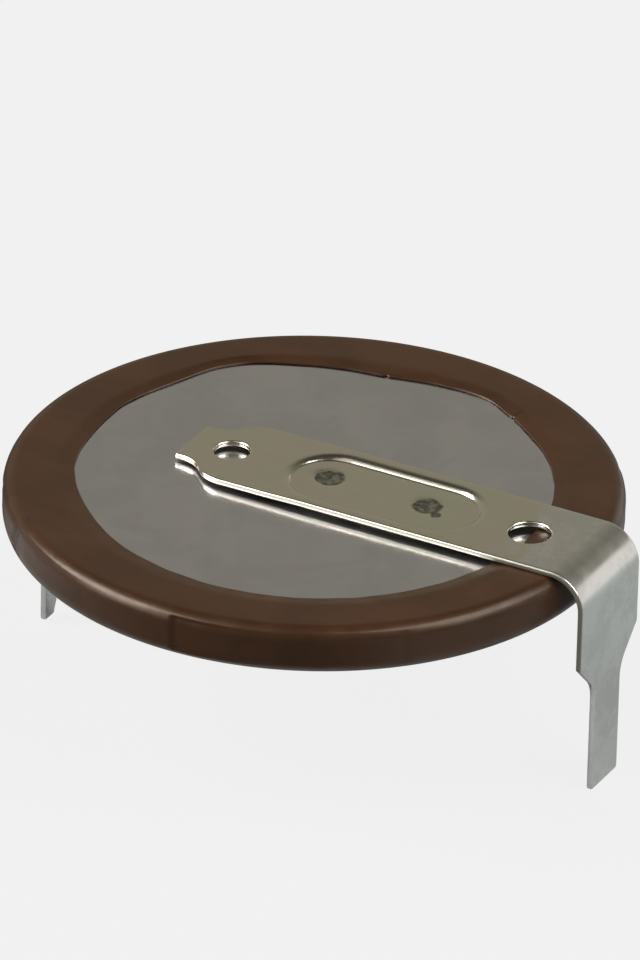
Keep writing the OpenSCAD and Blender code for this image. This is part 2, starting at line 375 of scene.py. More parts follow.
# Grooves in the wall, in degrees: direction at the top, width, lean for each mm down; share of the fold depth
WALL_GROOVES = (
    (-131.8, 0.9, 3.6, 1.6), (-151, 1.3, 1.0, 0.6), (-60.5, 1.2, 0, 0.25), (-45, 1.0, 0, 0.3),
    (38, 1.5, 0, 0.7),
)
# Steps where the film folded over itself, in degrees: direction at the top, lean for each mm down, width,
# reach until level; share of the fold depth
WALL_STEPS = ((-88.8, 0, 1.1, 9.0, 2.2), (-131.5, 3.6, 0.8, 7.0, 1.6))
# The strip rests on the film within the first angle either side of +X; the film is free beyond the second
STRIP_ANGLE, FREE_ANGLE = 20, 32
# Height below the film's top at which the folds reach their full depth
FOLD_TOP = 0.45 * MM
# Share of the film's thickness that tells its two skins apart
SKIN = 0.4


def wall_fold(direction, down):
    """Share of the folds' full depth in one direction, a distance in mm below the film's top."""
    depth = 0
    for at, width, lean, part in WALL_GROOVES:
        depth += part * hump(angle_between(direction, at - lean * down), width)
    for at, lean, width, reach, part in WALL_STEPS:
        past = angle_between(direction, at - lean * down)
        if past > 0:
            depth += part * smooth(0, width, past) * exp(-past / reach)
    return depth


def film_section(sizes):
    """Closed section of the film: over the lip, down the wall, in under the hem and back along the cell."""
    cell = bpy.context.scene.coin_cell.cell
    corner, crimp = cell.can_corner, cell.crimp_radius
    edge = sizes.lip_edge
    lip = FILM_R - sizes.top_lap
    hem = CAN_R - cell.crimp_width - cell.gasket_width + sizes.lip_gap
    flat_end, hem_end = CAN_R - corner, CAN_R - crimp
    lip_steps, wall_steps = 14, 6
    wall_top, wall_low = CAN_Z - corner, CRIMP_Z + crimp
    outer = arc(lip + edge, FILM_Z - edge, edge, 180, 90, 4)
    outer += [(lip + edge + (flat_end - lip - edge) * k / lip_steps, FILM_Z) for k in range(1, lip_steps)]
    outer += arc(flat_end, wall_top, corner + FILM_T, 90, 0, 14)
    outer += [(FILM_R, wall_top + (wall_low - wall_top) * k / wall_steps) for k in range(1, wall_steps)]
    outer += arc(hem_end, wall_low, crimp + FILM_T, 0, -90, 12)
    outer += arc(hem + edge, CAP_Z + edge, edge, -90, -180, 3)
    inner = [(hem, CRIMP_Z)] + arc(hem_end, wall_low, crimp, -90, 0, 6)
    inner += arc(flat_end, wall_top, corner, 0, 90, 6)
    inner += [(lip + (flat_end - lip) * k / lip_steps, CAN_Z) for k in range(lip_steps - 1, -1, -1)]
    return outer + inner


def lip_shift(direction):
    """How far the lip's cut edge lies outside its circle, in metres."""
    shift = sum(size * hump(angle_between(direction, at), width) for at, width, size in LIP_BUMPS)
    shift += sum(depth * hump(angle_between(direction, at), NICK_WIDTH) for at, depth in LIP_NICKS)
    spot = Vector((cos(radians(direction)), sin(radians(direction)), 0)) * LIP_WAVES
    return (shift + LIP_WAVE * noise.noise(spot)) * MM


def shrink_film(bm, sizes):
    """Moves the even film to its shrunk shape: wavy lip, shallow waves, folds and small dents in the wall."""
    lip = FILM_R - sizes.top_lap
    skin = SKIN * FILM_T
    for vert in bm.verts:
        x, y = vert.co.x - AXIS_X, vert.co.y
        r = hypot(x, y)
        direction = atan2(y, x) * 180 / pi
        out = Vector((x / r, y / r, 0))
        free = smooth(STRIP_ANGLE, FREE_ANGLE, abs(direction))
        at_edge = 1 - smooth(lip, lip + LIP_WIDTH, r)
        if vert.co.z > CAN_Z - skin:
            vert.co += out * (lip_shift(direction) * at_edge)
            swell = 0.5 + 0.5 * noise.noise(out * 6 + Vector((0, 0, 7)))
            vert.co.z += sizes.lift * swell * free * at_edge ** 3
        if vert.co.z > CAN_Z + skin:
            spot = Vector((x, y, 0)) / MM
            wave = noise.noise(spot * 0.35) + 0.5 * noise.noise(spot * 0.9)
            vert.co.z -= sizes.ripple * free * (0.75 + 0.5 * wave)
            thinned = 1 - smooth(lip, lip + sizes.taper_width, r)
            vert.co.z -= sizes.taper * thinned * (vert.co.z - CAN_Z) / FILM_T
        if r > CAN_R + skin:
            below = smooth(FILM_Z, FILM_Z - FOLD_TOP, vert.co.z)
            spot = Vector((x, y, vert.co.z * 1.5)) / MM
            dent = 0.5 + 0.5 * noise.noise(spot * 0.5)
            fold = sizes.fold_depth * wall_fold(direction, (FILM_Z - vert.co.z) / MM)
            vert.co -= out * (fold * (0.5 + 0.5 * below) + 0.25 * sizes.fold_depth * dent)
            vert.co.z -= 0.6 * fold * (1 - below)


# Terminals

# Tilts that a rolled edge passes through
ROLL_TILTS = [radians(a) for a in range(0, 91, 18)]
# Slope of the recess's wall and the steps in which it is reached, in degrees
RECESS_SLOPE, SLOPE_STEP = 45, 9
# Cuts across a bend
BEND_CUTS = 30
# How far the two weld marks lie off their even places, in mm along the strip and across it
WELD_SHIFTS = ((0.03, 0.15), (0.0, 0.1))
# Spatter beside the second weld: mm along and across from its mark, and its share of the mark's radius
SPATTER = (0.52, -0.4, 0.36)
# The painted darker, yellower tone that stands in for a duller reflection ends this far short of the bend
BRIGHT_LEAD = 1.2 * MM


def leg_shoulders(sizes, wide, narrow, straight, mark):
    """Half outline of a leg, as (station, half width), from its wide part to its straight blade."""
    blade_half, slope = narrow / 2, 45
    fillet = arc(straight, blade_half + sizes.fillet, sizes.fillet, -90 - slope, -90, 8)
    first = fillet[0]
    corner = first[0] - (wide / 2 - first[1]) / tan(radians(slope))
    return [(corner, wide / 2)] + fillet + [(mark, blade_half)]


def blade_end(sizes, narrow, end):
    return arc(end - sizes.blade_tip, narrow / 2 - sizes.blade_tip, sizes.blade_tip, 90, 0, 4)


def both_halves(half, other=None):
    """Closed outline of a half above the middle line and its twin, or another half, below it."""
    return half + [(s, -w) for s, w in reversed(other or half)]


def bend_length(radius):
    return pi / 2 * (radius - SHEET_T / 2)


class Bend:
    """Quarter bend of a flat blank: where it starts, its outer radius, and where the straight leg starts."""

    def __init__(self, start, radius, top):
        self.start, self.radius, self.top = start, radius, top
        self.end = start + bend_length(radius)

    def station(self, height):
        """Station on the flat blank of a height on the finished leg."""
        return self.end + self.top - self.radius - height

    def folded(self, station, height):
        """Finished (x from the axis, z) of a point; height is 0 on the outer face and negative below."""
        if station <= self.start:
            return station, self.top + height
        reach = self.radius + height
        if station >= self.end:
            return self.start + reach, self.top - self.radius - (station - self.end)
        angle = (station - self.start) / (self.end - self.start) * pi / 2
        return self.start + reach * sin(angle), self.top - self.radius + reach * cos(angle)


def flat_face(bm, outline, height, up):
    """One face in the blank's plane that looks up or down."""
    face = bm.faces.new([bm.verts.new((s, w, height)) for s, w in outline])
    face.normal_update()
    if (face.normal.z > 0) != up:
        face.normal_flip()
    return face


def step_in(bm, face, steps):
    """Insets a face again and again by (distance inwards, move along its normal)."""
    for inward, move in steps:
        bmesh.ops.inset_region(
            bm, faces=[face], thickness=inward, depth=move, use_boundary=True, use_even_offset=True
        )


def changes(points):
    return [(b[0] - a[0], b[1] - a[1]) for a, b in zip(points, points[1:])]


def stamp_blank(bm, outline, edge):
    """Blank of the sheet's thickness with rolled edges, its upper and lower faces left open."""
    rolled = changes([(edge * (1 - cos(a)), edge * sin(a)) for a in ROLL_TILTS])
    top = flat_face(bm, outline, -edge, up=True)
    rim = list(top.edges)
    result = bmesh.ops.extrude_edge_only(bm, edges=rim)
    lower = [v for v in result["geom"] if isinstance(v, bmesh.types.BMVert)]
    bmesh.ops.translate(bm, vec=(0, 0, 2 * edge - SHEET_T), verts=lower)
    lower_edges = [e for e in result["geom"] if isinstance(e, bmesh.types.BMEdge) and e.is_boundary]
    bottom = bmesh.ops.edgenet_fill(bm, edges=lower_edges)["faces"][0]
    bottom.normal_update()
    if bottom.normal.z > 0:
        bottom.normal_flip()
    for face in (top, bottom):
        step_in(bm, face, rolled)
    bmesh.ops.delete(bm, geom=[top, bottom], context="FACES_ONLY")


def punch_hole(bm, station, radius, edge):
    """Wall of a punched hole with rolled edges."""
    upper = [(radius + edge * (1 - cos(a)), edge * (sin(a) - 1)) for a in reversed(ROLL_TILTS)]
    lower = [(r, -SHEET_T - z) for r, z in reversed(upper)]
    spin_section(bm, upper + lower, station, 0, 72, closed=False)


def recess_profile(sizes):
    """Points (inwards, down, tilt) down the recess's wall on the upper side."""
    brim, foot, slope = sizes.brim, sizes.foot, radians(RECESS_SLOPE)
    tilts = [radians(a) for a in range(0, RECESS_SLOPE + 1, SLOPE_STEP)]
    points = [(brim * sin(t), brim * (1 - cos(t)), t) for t in tilts]
    drop = FILM_T - foot * (1 - cos(slope))
    run = points[-1][0] + (drop - points[-1][1]) / tan(slope)
    points += [
        (run + foot * (sin(slope) - sin(t)), drop + foot * (cos(t) - cos(slope)), t) for t in reversed(tilts)
    ]
    return points


def stadium(start, end, half):
    """Outline of a slot with round ends."""
    return arc(end - half, 0, half, -90, 90, 40) + arc(start + half, 0, half, 90, 270, 40)


def press_recess(bm, sizes, start, end):
    """Wall and floor of the recess on both sides of the sheet, offset by the sheet's thickness."""
    profile = recess_profile(sizes)
    middle = profile[-1][0] / 2
    half = sizes.recess_width / 2 - FILM_T / 2 + middle
    grow = middle - FILM_T / 2
    outline = stadium(start - grow, end + grow, half)
    above = [(i, -d) for i, d, t in profile]
    below = [(i - SHEET_T * sin(t), d + SHEET_T * (cos(t) - 1)) for i, d, t in profile]
    step_in(bm, flat_face(bm, outline, 0, up=True), changes(above))
    step_in(bm, flat_face(bm, outline, -SHEET_T, up=False), changes(below))


def close_sides(bm):
    """Fills the sheet's upper and lower faces between their rims."""
    for height, look in ((0, 1), (-SHEET_T, -1)):
        open_edges = [e for e in bm.edges if e.is_boundary]
        rims = [e for e in open_edges if all(abs(v.co.z - height) < LEVEL for v in e.verts)]
        bmesh.ops.triangle_fill(bm, use_beauty=True, use_dissolve=False, edges=rims, normal=(0, 0, look))


def refine(bm, bend, grid):
    """Cuts the blank into small cells, and finer across the bend."""
    low = min(v.co.x for v in bm.verts)
    high = max(v.co.x for v in bm.verts)
    half = max(v.co.y for v in bm.verts)
    stations = [low + grid * k for k in range(1, int((high - low) / grid) + 1)]
    stations = [s for s in stations if not bend.start - grid / 2 < s < bend.end + grid / 2]
    stations += [bend.start + (bend.end - bend.start) * k / BEND_CUTS for k in range(BEND_CUTS + 1)]
    rows = [grid * k for k in range(-int(half / grid), int(half / grid) + 1)]
    cuts = [((s, 0, 0), (1, 0, 0)) for s in stations] + [((0, w, 0), (0, 1, 0)) for w in rows]
    for at, across in cuts:
        everything = bm.verts[:] + bm.edges[:] + bm.faces[:]
        bmesh.ops.bisect_plane(bm, geom=everything, dist=MERGE, plane_co=at, plane_no=across)


def weld_marks(bm, centres, radius, depth, height, upper):
    """Rough round dents about (station, width) centres on one side of the sheet."""
    look = -1 if upper else 1
    for vert in bm.verts:
        if abs(vert.co.z - height) > LEVEL:
            continue
        for s, w in centres:
            away = hypot(vert.co.x - s, vert.co.y - w) / radius
            if away < 1.15:
                rough = noise.noise(vert.co / MM * 4) * 0.35 + noise.noise(vert.co / MM * 9) * 0.2
                vert.co.z += look * depth * (smooth(1.15, 0.6, away) * (0.75 + rough))


def fold_blank(bm, bend, side, settle=None):
    """Bends the flat blank into its place; side is 1 for a leg on +X and -1 for one on -X."""
    for vert in bm.verts:
        station, width, height = vert.co
        x, z = bend.folded(station, height)
        if settle:
            z += settle(station, width, height)
        vert.co = (AXIS_X + side * x, width, z)
    close_mesh(bm)


def positive_outline(sizes, bend):
    """Blank of the positive terminal: necked end, S-shaped shoulders, wide strip, leg and blade."""
    tip, half_tip, half = -sizes.tip_reach, sizes.tip_width / 2, POSITIVE_HIGH.y
    neck = tip + sizes.tip_length
    run, rise = sizes.shoulder, half - half_tip
    radius = (run ** 2 + rise ** 2) / (4 * rise)
    sweep = 2 * atan2(rise, run) * 180 / pi
    corner = sizes.tip_corner
    outline = arc(tip + corner, half_tip - corner, corner, 180, 90, 5)
    outline += arc(neck, half_tip + radius, radius, -90, -90 + sweep, 12)
    outline += arc(neck + run, half - radius, radius, 90 + sweep, 90, 12)[1:]
    straight = bend.station(sizes.blade)
    end = bend.station(0)
    outline += leg_shoulders(sizes, 2 * half, sizes.positive_blade, straight, straight + sizes.fillet)
    outline += blade_end(sizes, sizes.positive_blade, end)
    return both_halves(outline)


def negative_outline(sizes, bend):
    """Blank of the negative terminal: rounded end, wide strip, leg, narrow blade and shear step."""
    start, half = -sizes.negative_reach, NEGATIVE_HIGH.y
    corner, narrow = sizes.negative_corner, sizes.negative_blade
    low = NEGATIVE_LOW.z
    straight = bend.station(low + sizes.blade)
    end = bend.station(low)
    head = arc(start + corner, half - corner, corner, 180, 90, 8)
    shoulders = leg_shoulders(sizes, 2 * half, narrow, straight, straight + sizes.fillet)
    step_end = end - sizes.step_height
    stepped = narrow - 2 * sizes.step_depth
    step = [(step_end - sizes.step_slope, narrow / 2), (step_end, stepped / 2)]
    return both_halves(
        head + shoulders + step + blade_end(sizes, stepped, end),
        head + shoulders + blade_end(sizes, narrow, end),
    )


def settle_strip(sizes, recess_start):
    """Move of a point of the positive blank: its free end droops and the recess gets shallower there."""
    overhang = recess_start + sizes.tip_reach
    sag_run, near = 1.5 * MM, 0.3 * MM

    def move(station, width, level):
        t = max(0.0, (recess_start - station) / overhang)
        sunk = sizes.sag * (1 - smooth(recess_start, recess_start + sag_run, station))
        sunk += (sizes.droop - sizes.sag) * t ** 1.8
        pressed = 0.0
        if station > recess_start - near and abs(width) < sizes.recess_width / 2 + near:
            below = -level if level > -FILM_T - LEVEL else -level - SHEET_T
            pressed = min(max(below / FILM_T, 0.0), 1.0)
        return sunk * (2 * pressed - 1)

    return move


# Materials


def place(tree, kind, settings=None, feeds=None, **inputs):
    """Adds a node with its properties as settings; values or sockets go by name or, in feeds, by number."""
    node = tree.nodes.new(kind)
    for name, value in (settings or {}).items():
        setattr(node, name, value)
    targets = {node.inputs[name.replace("_", " ")]: value for name, value in inputs.items()}
    targets.update({node.inputs[number]: value for number, value in (feeds or {}).items()})
    for socket, value in targets.items():
        if isinstance(value, bpy.types.NodeSocket):
            tree.links.new(value, socket)
        else:
            socket.default_value = value
    return node


def maths(tree, operation, a, b=0.0):
    return place(tree, "ShaderNodeMath", {"operation": operation}, {0: a, 1: b}).outputs[0]


def product(tree, a, b):
    return maths(tree, "MULTIPLY", a, b)


def added(tree, base, value, part):
    """A value with a part of another on top."""
    return maths(tree, "ADD", base, product(tree, value, part))


def vector_maths(tree, operation, *values):
    """Result of a vector operation; a length, distance or dot product comes as a plain value."""
    node = place(tree, "ShaderNodeVectorMath", {"operation": operation}, dict(enumerate(values)))
    return node.outputs["Value" if operation in ("LENGTH", "DISTANCE", "DOT_PRODUCT") else "Vector"]


def cloudy(tree, at, scale, detail=2.0, roughness=0.5, distortion=0.0):
    """Value of a noise texture."""
    node = place(
        tree, "ShaderNodeTexNoise", Vector=at, Scale=scale, Detail=detail, Roughness=roughness,
        Distortion=distortion,
    )
    return node.outputs[0]


def spread(tree, value, low, high, new_low=0.0, new_high=1.0):
    """Maps a value from one range to another with soft ends and holds it there."""
    node = place(
        tree, "ShaderNodeMapRange", {"interpolation_type": "SMOOTHSTEP"},
        {0: value, 1: low, 2: high, 3: new_low, 4: new_high},
    )
    return node.outputs[0]


def blend(tree, factor, a, b):
    """Mixes two colours."""
    return place(tree, "ShaderNodeMix", {"data_type": "RGBA"}, {0: factor, 6: a, 7: b}).outputs[2]


def solid(value):
    return (*value, 1.0)


def scaled(value, factor):
    return tuple(c * factor for c in value)


def shader_group(name, inputs, outputs):
    """Empty node group with float or vector inputs and float outputs."""
    tree = bpy.data.node_groups.new(name, "ShaderNodeTree")
    for label, kind, default in inputs:
        socket = tree.interface.new_socket(label, in_out="INPUT", socket_type=kind)
        if default is not None:
            socket.default_value = default
    for label in outputs:
        tree.interface.new_socket(label, in_out="OUTPUT", socket_type="NodeSocketFloat")
    return tree, tree.nodes.new("NodeGroupInput").outputs, tree.nodes.new("NodeGroupOutput").inputs


def rolled_grain_group():
    """Fine parallel lines left by rolling or brushing, along the input's X."""
    name = "Rolled grain"
    if name in bpy.data.node_groups:
        return bpy.data.node_groups[name]
    tree, given, out = shader_group(
        name,
        (("Vector", "NodeSocketVector", None), ("Fineness", "NodeSocketFloat", 30.0),
         ("Stretch", "NodeSocketFloat", 0.03)),
        ("Lines", "Broad"),
    )
    parts = place(tree, "ShaderNodeSeparateXYZ", Vector=given["Vector"]).outputs
    along = product(tree, parts[0], given["Stretch"])
    lined = place(tree, "ShaderNodeCombineXYZ", X=along, Y=parts[1], Z=parts[2]).outputs[0]
    tree.links.new(cloudy(tree, lined, given["Fineness"], 6.0, 0.7), out["Lines"])
    broad_scale = product(tree, given["Fineness"], 0.12)
    tree.links.new(cloudy(tree, lined, broad_scale, 3.0, 0.6), out["Broad"])
    return tree


def handling_group():
    """Cloudy smudges and thin stray scratches."""
    name = "Handling marks"
    if name in bpy.data.node_groups:
        return bpy.data.node_groups[name]
    tree, given, out = shader_group(
        name, (("Vector", "NodeSocketVector", None), ("Scale", "NodeSocketFloat", 0.5)),
        ("Smudges", "Scratches"),
    )
    at = given["Vector"]
    tree.links.new(cloudy(tree, at, given["Scale"], 4.0, 0.55, 0.6), out["Smudges"])
    bent = place(tree, "ShaderNodeTexNoise", Vector=at, Scale=0.9, Detail=1.0).outputs["Color"]
    swayed = vector_maths(tree, "MULTIPLY_ADD", bent, (1.6, 1.6, 0.0), at)
    squeezed = place(tree, "ShaderNodeMapping", Vector=swayed, Rotation=(0, 0, 0.5), Scale=(0.25, 3.2, 1.0))
    cells = place(
        tree, "ShaderNodeTexVoronoi", {"feature": "DISTANCE_TO_EDGE"}, Vector=squeezed.outputs[0], Scale=0.8
    )
    line = spread(tree, cells.outputs["Distance"], 0.0, 0.012, 1.0, 0.0)
    kept = spread(tree, cloudy(tree, at, 0.7), 0.52, 0.66)
    tree.links.new(product(tree, line, kept), out["Scratches"])
    return tree


def new_material(name):
    material = bpy.data.materials.new(name)
    material.use_nodes = True
    tree = material.node_tree
    tree.nodes.clear()
    shader = tree.nodes.new("ShaderNodeBsdfPrincipled")
    output = tree.nodes.new("ShaderNodeOutputMaterial")
    tree.links.new(shader.outputs[0], output.inputs["Surface"])
    return material, tree, shader


def millimetres(tree, centre=(0.0, 0.0, 0.0), angle=0.0):
    """Object coordinates in millimetres about a centre, turned in the plan view."""
    coords = tree.nodes.new("ShaderNodeTexCoord")
    moved = place(
        tree, "ShaderNodeMapping", {"vector_type": "POINT"}, Vector=coords.outputs["Object"],
        Location=tuple(-c / MM for c in centre), Scale=(1 / MM, 1 / MM, 1 / MM),
    )
    turned = place(
        tree, "ShaderNodeVectorRotate", {"rotation_type": "Z_AXIS"}, Vector=moved.outputs[0], Angle=angle
    )
    return turned.outputs[0]


def raised(tree, shader, height, distance):
    """Feeds a height in units of the given distance, in metres, to the shader's normal."""
    bump = place(tree, "ShaderNodeBump", Height=height, Distance=distance, Strength=1.0)
    tree.links.new(bump.outputs[0], shader.inputs["Normal"])


def grouped(tree, group, **inputs):
    return place(tree, "ShaderNodeGroup", {"node_tree": group}, **inputs).outputs


def steel_material():
    """Finely rolled can steel with faint smudges."""
    finish = bpy.context.scene.coin_cell.finish
    material, tree, shader = new_material("Rolled can steel")
    at = millimetres(tree, (AXIS_X, 0, 0), radians(62))
    grain = grouped(tree, rolled_grain_group(), Vector=at, Fineness=9.0, Stretch=0.04)
    marks = grouped(tree, handling_group(), Vector=at, Scale=0.45)
    dull = scaled(finish.steel, 0.93)
    cloud = spread(tree, marks["Smudges"], 0.35, 0.65)
    tree.links.new(blend(tree, cloud, solid(finish.steel), solid(dull)), shader.inputs["Base Color"])
    shader.inputs["Metallic"].default_value = 1.0
    rough = finish.steel_roughness
    streaked = spread(tree, grain["Broad"], 0.3, 0.7, rough - 0.03, rough + 0.03)
    tree.links.new(added(tree, streaked, cloud, 0.02), shader.inputs["Roughness"])
    raised(tree, shader, added(tree, grain["Lines"], marks["Scratches"], -0.25), 0.0006 * MM)
    return material


def spot_mask(tree, at, centre, radius, wobble):
    """1 inside a round mark with a ragged edge."""
    ragged = added(tree, vector_maths(tree, "DISTANCE", at, centre), wobble, 0.8 * radius)
    return spread(tree, ragged, 1.46 * radius, 1.3 * radius)


def nickel_material(name, welds, height, radius, bright_from, half_width):
    """Satin nickel, painted darker and yellower up to a given station on X to stand in for a duller
    reflection there, with scorched welds at one height.

    Each weld is (x, y, share of the radius), and half_width is where the strip's sheared sides are.
    """
    finish = bpy.context.scene.coin_cell.finish
    material, tree, shader = new_material(name)
    at = millimetres(tree)
    station, across, level = place(tree, "ShaderNodeSeparateXYZ", Vector=at).outputs
    grain = grouped(tree, rolled_grain_group(), Vector=at, Fineness=7.0, Stretch=0.03)
    marks = grouped(tree, handling_group(), Vector=at, Scale=0.4)
    wobble = cloudy(tree, at, 2.6, 5.0, 0.75)
    crust = cloudy(tree, at, 5.0, 5.0, 0.75)
    cloud = spread(tree, marks["Smudges"], 0.38, 0.62)
    dim_end, side = bright_from / MM, half_width / MM

    # Painted reflection: a darker, yellower tone over the cell, and a lighter, blotchy stretch past it where
    # the strip tilts and reflects more before the bend
    pink = tuple(c * k for c, k in zip(finish.painted_dim_nickel, (1.03, 0.975, 0.98)))
    green = tuple(c * k for c, k in zip(finish.painted_dim_nickel, (0.97, 1.0, 0.93)))
    uneven = added(tree, station, cloud, 1.5)
    bright_stretch = spread(tree, uneven, dim_end, dim_end + 1.2)
    stained = spread(tree, added(tree, product(tree, wobble, 0.4), marks["Smudges"], 0.6), 0.46, 0.6)
    handled = blend(tree, stained, solid(finish.nickel), solid(scaled(finish.nickel, 0.88)))
    skin = blend(tree, bright_stretch, blend(tree, cloud, solid(green), solid(pink)), handled)

    # Rough sheared sides by the bend and on the leg
    outer = spread(tree, maths(tree, "ABSOLUTE", across), side - 0.05, side - 0.01)
    sheared = product(tree, outer, spread(tree, uneven, dim_end - 0.4, dim_end + 1.0))
    skin = blend(tree, sheared, skin, solid(finish.sheared))

    # Scorched welds
    scorched = 0.0
    for x, y, size in welds:
        mask = spot_mask(tree, at, (x / MM, y / MM, height / MM), radius * size / MM, wobble)
        scorched = maths(tree, "MAXIMUM", scorched, mask)
    burnt = scaled(finish.scorch, 2.5)
    char = blend(tree, spread(tree, crust, 0.4, 0.62), solid(finish.scorch), solid(burnt))
    tree.links.new(blend(tree, scorched, skin, char), shader.inputs["Base Color"])
    shader.inputs["Metallic"].default_value = 1.0

    # Roughness, with a duller underside over the cell
    under = spread(tree, level, FILM_Z / MM + 0.03, FILM_Z / MM)
    hidden = product(tree, under, spread(tree, station, dim_end + 1.4, dim_end + 1.1))
    rough = finish.nickel_roughness
    worn = spread(tree, grain["Broad"], 0.3, 0.7, rough - 0.035, rough + 0.035)
    rougher = ((marks["Scratches"], 0.08), (sheared, 0.3), (bright_stretch, 0.03), (hidden, 0.35), (scorched, 0.4))
    for mask, more in rougher:
        worn = added(tree, worn, mask, more)
    tree.links.new(worn, shader.inputs["Roughness"])
    lines = added(tree, grain["Lines"], marks["Scratches"], -0.25)
    raised(tree, shader, added(tree, lines, product(tree, crust, scorched), 12.0), 0.0013 * MM)
    return material


def film_material():
    """Shrunk brown film: semi-gloss, cloudy where it was drawn thin, with a faint skin of shrink ripples."""
    finish = bpy.context.scene.coin_cell.finish
    material, tree, shader = new_material("Shrunk brown film")
    at = millimetres(tree, (AXIS_X, 0, 0))
    marks = grouped(tree, handling_group(), Vector=at, Scale=0.22)
    streaks = place(tree, "ShaderNodeMapping", Vector=at, Rotation=(0, 0, 0.9), Scale=(0.5, 1.6, 1.0))
    drawn = cloudy(tree, streaks.outputs[0], 0.55, 3.0, 0.6)
    mottled = added(tree, product(tree, marks["Smudges"], 0.6), drawn, 0.4)
    tint = blend(tree, spread(tree, mottled, 0.41, 0.59), solid(finish.film), solid(finish.film_warm))
    tree.links.new(tint, shader.inputs["Base Color"])
    rough = finish.film_roughness
    pores = cloudy(tree, at, 1.6)
    tree.links.new(spread(tree, pores, 0.3, 0.7, rough - 0.04, rough + 0.05), shader.inputs["Roughness"])
    shader.inputs["IOR"].default_value = 1.46
    shader.inputs["Specular Tint"].default_value = solid(finish.film_sheen)
    raised(tree, shader, added(tree, pores, marks["Smudges"], 1.5), 0.006 * MM)
    return material


def gasket_material():
    """Dull moulded polymer."""
    finish = bpy.context.scene.coin_cell.finish
    material, tree, shader = new_material("Gasket polymer")
    at = millimetres(tree, (AXIS_X, 0, 0))
    grit = cloudy(tree, at, 6.0, 4.0)
    pale = scaled(finish.gasket, 1.6)
    tree.links.new(blend(tree, grit, solid(finish.gasket), solid(pale)), shader.inputs["Base Color"])
    tree.links.new(spread(tree, grit, 0.3, 0.7, 0.45, 0.6), shader.inputs["Roughness"])
    raised(tree, shader, grit, 0.004 * MM)
    return material


# Operators


class COINCELL_OT_add_cell(bpy.types.Operator):
    """Adds the can, the gasket and the cap"""

    bl_idname = "coin_cell.add_cell"
    bl_label = "Add cell"

    def execute(self, context):
        sizes = context.scene.coin_cell.cell
        steel = steel_material()
        add_lathed("can", can_section(sizes), sizes.turns, steel, ("sealed_cell",))
        add_lathed("gasket", gasket_section(sizes), sizes.turns, gasket_material())
        add_lathed("cap", cap_section(sizes), sizes.turns, steel)
        return {"FINISHED"}


class COINCELL_OT_add_film(bpy.types.Operator):
    """Adds the shrunk insulating film"""

    bl_idname = "coin_cell.add_film"
    bl_label = "Add film"

    def execute(self, context):
        sizes = context.scene.coin_cell.film
        bm = bmesh.new()
        spin_round(bm, film_section(sizes), sizes.turns)
        close_mesh(bm)
        shrink_film(bm, sizes)
        finish_piece(bm, "film_sleeve", film_material(), ("sleeve",))
        return {"FINISHED"}


class COINCELL_OT_add_positive_terminal(bpy.types.Operator):
    """Adds the wide terminal: stamped, pressed, welded and bent"""

    bl_idname = "coin_cell.add_positive_terminal"
    bl_label = "Add positive terminal"

    def execute(self, context):
        sizes = context.scene.coin_cell.sheet
        corner = context.scene.coin_cell.cell.can_corner + FILM_T
        start = FILM_R - corner
        bend = Bend(start, POSITIVE_HIGH.x - AXIS_X - start, POSITIVE_HIGH.z)
        rim_hole = start - sizes.rim_hole_inset
        pilot = sizes.pilot_inset - sizes.tip_reach
        recess_end = rim_hole - sizes.rim_hole / 2 - sizes.recess_inset
        recess_start = recess_end - sizes.recess
        first = recess_start + sizes.weld_inset
        welds = [(first + k * sizes.weld_pitch + s * MM, w * MM) for k, (s, w) in enumerate(WELD_SHIFTS)]
        bm = bmesh.new()
        stamp_blank(bm, positive_outline(sizes, bend), sizes.edge)
        punch_hole(bm, pilot, sizes.pilot / 2, sizes.edge)
        punch_hole(bm, rim_hole, sizes.rim_hole / 2, sizes.edge)
        press_recess(bm, sizes, recess_start, recess_end)
        close_sides(bm)
        refine(bm, bend, sizes.grid)
        weld_marks(bm, welds, sizes.weld / 2, sizes.weld_depth, -FILM_T, upper=True)
        fold_blank(bm, bend, 1, settle_strip(sizes, recess_start))
        along, across, size = SPATTER
        spatter = (AXIS_X + welds[1][0] + along * MM, welds[1][1] + across * MM, size)
        spots = [(AXIS_X + s, w, 1) for s, w in welds] + [spatter]
        nickel = nickel_material(
            "Welded nickel strip", spots, CAN_Z + SHEET_T, sizes.weld / 2, AXIS_X + start - BRIGHT_LEAD,
            POSITIVE_HIGH.y,
        )
        finish_piece(bm, "positive_strip", nickel, ("positive_terminal",), weighted=True)
        return {"FINISHED"}


class COINCELL_OT_add_negative_terminal(bpy.types.Operator):
    """Adds the narrow terminal under the cap"""

    bl_idname = "coin_cell.add_negative_terminal"
    bl_label = "Add negative terminal"

    def execute(self, context):
        sizes = context.scene.coin_cell.sheet
        face = AXIS_X - NEGATIVE_LOW.x
        bend = Bend(face - sizes.negative_bend, sizes.negative_bend, NEGATIVE_HIGH.z)
        first = sizes.negative_weld - sizes.negative_reach
        welds = [(first, 0), (first + sizes.weld_pitch, 0)]
        bm = bmesh.new()
        stamp_blank(bm, negative_outline(sizes, bend), sizes.edge)
        close_sides(bm)
        refine(bm, bend, sizes.grid)
        weld_marks(bm, welds, sizes.weld / 2, sizes.weld_depth, -SHEET_T, upper=False)
        fold_blank(bm, bend, -1)
        spots = [(AXIS_X - s, w, 1) for s, w in welds]
        # The painted darker tone would end before the strip starts, so all of it has the lighter tone
        nickel = nickel_material(
            "Nickel strip", spots, CAP_Z - SHEET_T, sizes.weld / 2, NEGATIVE_LOW.x - 4 * MM, NEGATIVE_HIGH.y
        )
        finish_piece(bm, "negative_strip", nickel, ("negative_terminal",), weighted=True)
        return {"FINISHED"}


# Lamps: name, azimuth and elevation as the camera's, size in metres, power in watts
LAMPS = (
    ("Left softbox", -63, 37, 0.34, 3.4),
    ("Right softbox", 97, 46, 0.41, 2.9),
    ("Front softbox", -42, 32, 0.36, 0.85),
)
LAMP_DISTANCE = 0.5
FLOOR_RADIUS = 3.0


